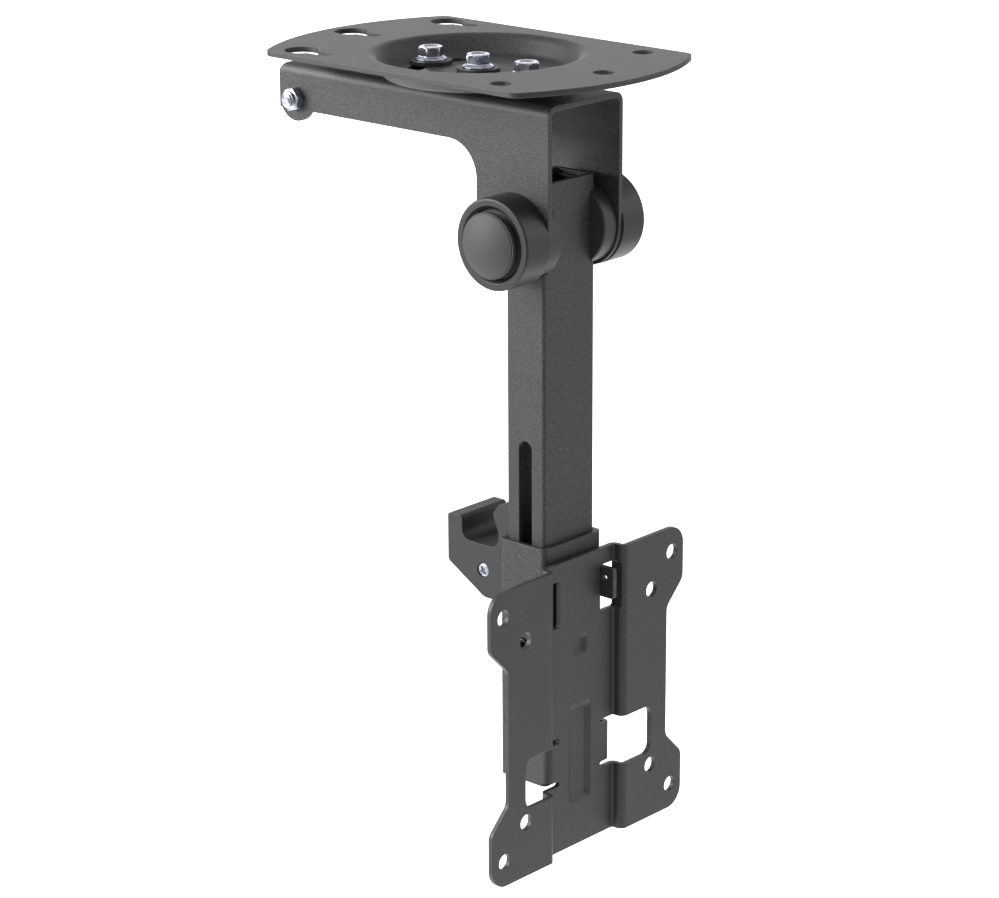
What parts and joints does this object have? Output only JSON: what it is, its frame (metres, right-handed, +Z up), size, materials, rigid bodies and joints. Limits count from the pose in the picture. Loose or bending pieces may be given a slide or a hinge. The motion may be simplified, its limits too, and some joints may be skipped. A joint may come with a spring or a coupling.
{
  "type": "tv mount",
  "caption": "Flip-down tv mount: a swivelling ceiling plate, a folding arm with a latch hook, and a height-adjustable screen plate with standard hole squares.",
  "frame": {"origin": "on the swivel axis, in the ceiling plate's top face, where the mount meets the ceiling or shelf", "axes": "+Z is up, into the ceiling; -Y is the screen's side; X is the hinge axis. The arm hangs straight down along -Z, and the channel runs to +Y"},
  "size_m": [0.1142, 0.1645, 0.3108],
  "materials": {
    "coat_dark": "fine-texture powder coat, near black, satin",
    "zinc": "bright zinc plate, satin",
    "black_steel": "black-oxide steel, oiled",
    "spring_steel": "oiled spring steel",
    "cover_plastic": "moulded, fine spark texture, black",
    "hook_plastic": "moulded glass-filled nylon, satin black",
    "slip_plastic": "smooth black acetal",
    "friction_plastic": "dense moulded friction material, satin black"
  },
  "bodies": {
    "base": {"ceiling_plate": "coat_dark"},
    "channel": {"channel_bracket": "coat_dark", "swivel_pad": "slip_plastic", "slip_washers": "slip_plastic", "pivot_bolt": "zinc", "guide_bolts": "zinc", "swivel_washers": "zinc", "swivel_nuts": "zinc", "latch_bolt": "zinc", "latch_nut": "zinc", "hinge_bolt": "zinc", "hinge_washers": "zinc", "disc_springs": "spring_steel", "hinge_nut": "zinc", "hinge_cover_right": "cover_plastic", "hinge_cover_left": "cover_plastic", "hinge_cap_right": "cover_plastic", "hinge_cap_left": "cover_plastic"},
    "arm": {"arm_tube": "coat_dark", "tube_plug": "cover_plastic", "hinge_barrel": "zinc", "friction_disc_right": "friction_plastic", "friction_disc_left": "friction_plastic"},
    "carrier": {"carrier_sleeve": "coat_dark", "clamp_bolts": "black_steel", "clamp_washers": "black_steel", "clamp_nuts": "black_steel", "screen_plate": "coat_dark", "hook_core": "zinc", "hook_shell_left": "hook_plastic", "hook_shell_right": "hook_plastic", "hook_screw": "zinc", "hook_nut": "zinc", "slide_key_right": "slip_plastic", "slide_key_left": "slip_plastic"}
  },
  "joints": [
    {"name": "swivel", "type": "hinge", "parent": "base", "child": "channel", "pos_m": [0, 0, 0], "axis": [0, 0, 1], "range_deg": [-30, 30]},
    {"name": "fold", "type": "hinge", "parent": "channel", "child": "arm", "pos_m": [0, -0.037, -0.0627], "axis": [1, 0, 0], "range_deg": [0, 93]},
    {"name": "height", "type": "slide", "parent": "arm", "child": "carrier", "axis": [0, 0, 1], "range_m": [-0.01, 0.045]}
  ]
}
